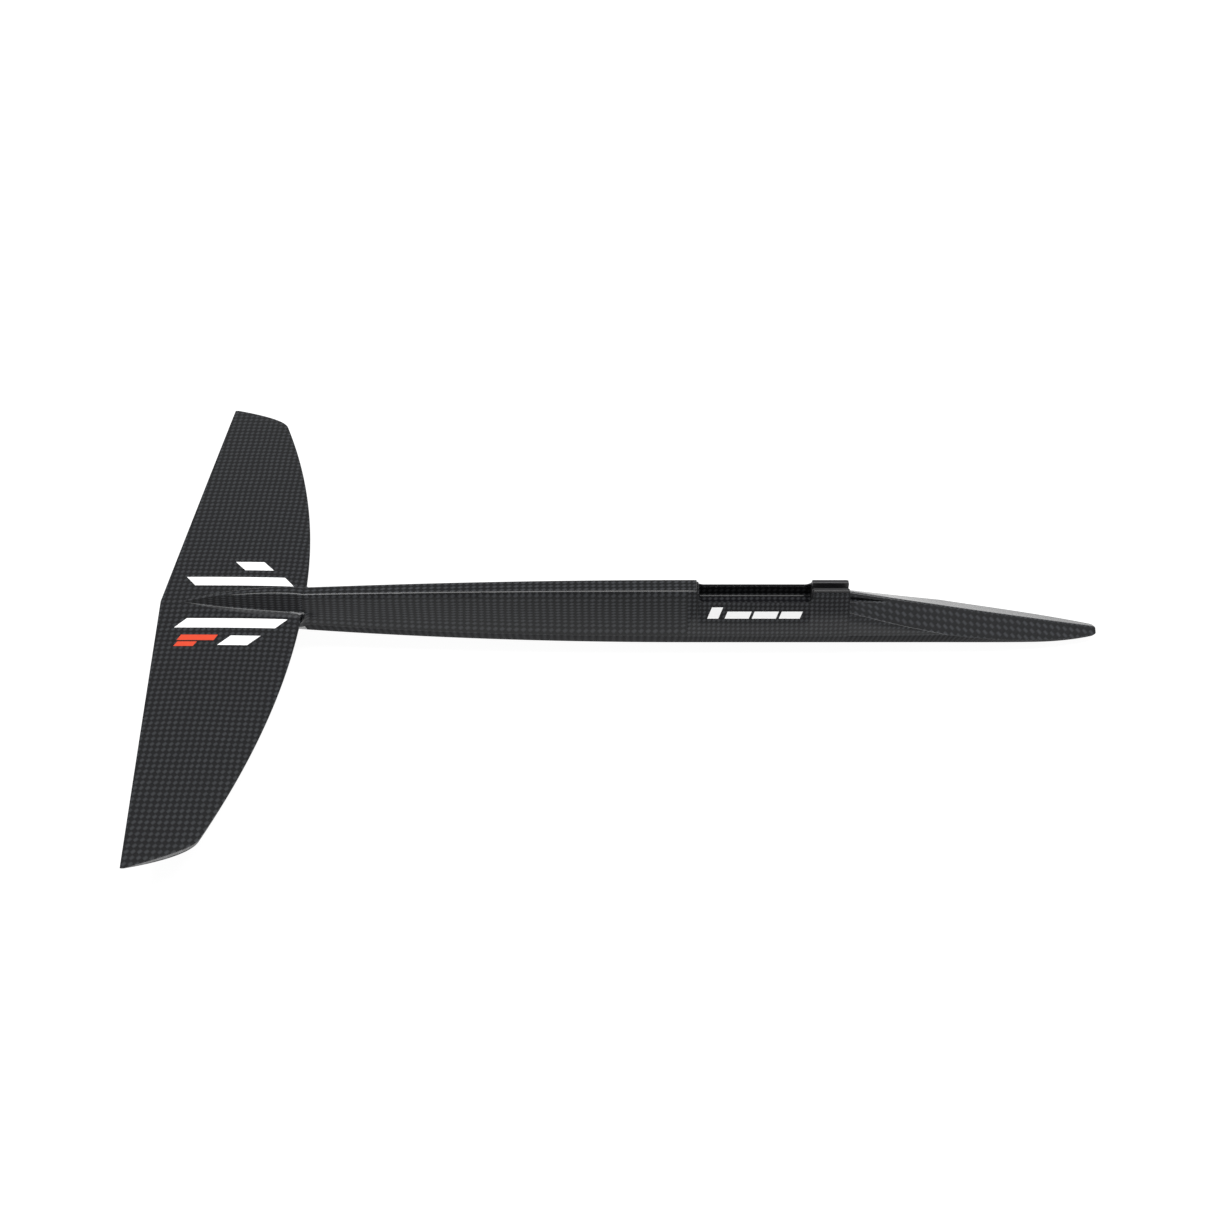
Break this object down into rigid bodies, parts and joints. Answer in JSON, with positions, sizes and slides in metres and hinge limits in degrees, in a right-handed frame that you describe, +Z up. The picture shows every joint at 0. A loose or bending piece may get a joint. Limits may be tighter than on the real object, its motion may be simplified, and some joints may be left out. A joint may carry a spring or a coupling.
{
  "type": "hydrofoil fuselage with tail wing",
  "caption": "Slim faceted carbon fuselage with a swept tail wing fixed at its rear end, an open pocket for the mast's foot, and a wedge nose for the front wing.",
  "frame": {"origin": "centre of the mast pocket's floor", "axes": "+X forward to the nose, +Y to port, +Z up out of the pocket, towards the board"},
  "size_m": [0.4798, 0.3284, 0.0365],
  "materials": {
    "carbon_weave": "glossy clear-coated woven carbon",
    "carbon_plain": "satin moulded carbon",
    "unidirectional_carbon": "satin unidirectional carbon",
    "glass_laminate": "satin glass laminate",
    "foam": "matte closed-cell foam",
    "white_film": "printed film under clear coat",
    "orange_film": "printed film under clear coat"
  },
  "bodies": {
    "root": {"boom_upper_shell": "carbon_weave", "pocket_shell": "carbon_weave", "fuselage_lower_shell": "carbon_weave", "boom_foam_core": "foam", "upper_spar_cap": "unidirectional_carbon", "lower_spar_cap": "unidirectional_carbon", "mast_socket": "carbon_plain", "lock_block": "carbon_plain", "keel_block": "glass_laminate", "spine_bar": "unidirectional_carbon", "nose_upper_half": "carbon_weave", "nose_lower_half": "carbon_weave", "upper_root_fairing": "carbon_weave", "lower_root_fairing": "carbon_weave", "tail_upper_skin": "carbon_weave", "tail_lower_skin": "carbon_weave", "tail_spar": "unidirectional_carbon", "tail_front_core": "foam", "tail_rear_core": "foam", "long_stripes": "white_film", "short_stripes": "white_film", "size_mark": "orange_film", "flank_marks": "white_film"}
  },
  "joints": []
}
